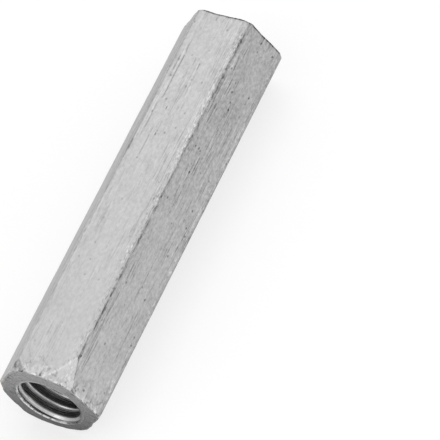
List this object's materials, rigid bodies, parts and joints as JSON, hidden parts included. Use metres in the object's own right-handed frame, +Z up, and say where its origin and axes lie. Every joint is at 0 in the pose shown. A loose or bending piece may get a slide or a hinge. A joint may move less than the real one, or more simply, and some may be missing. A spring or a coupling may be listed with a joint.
{
  "type": "coupling nut",
  "caption": "Long hexagon coupling nut, threaded right through, that joins two threaded rods end to end; chamfered corners, countersunk mouths, and a front end ground back above and below.",
  "frame": {"origin": "centre of the lower flat, on the surface that the nut lies on", "axes": "+X along the nut's axis, out of its front mouth; +Z up, square to the lower flat; +Y towards a corner"},
  "size_m": [0.05, 0.0126, 0.011],
  "materials": {
    "zinc_plated_steel": "dull zinc plating over cold-drawn steel, with lengthwise drawing marks"
  },
  "bodies": {
    "root": {"coupling_nut": "zinc_plated_steel"}
  },
  "joints": []
}
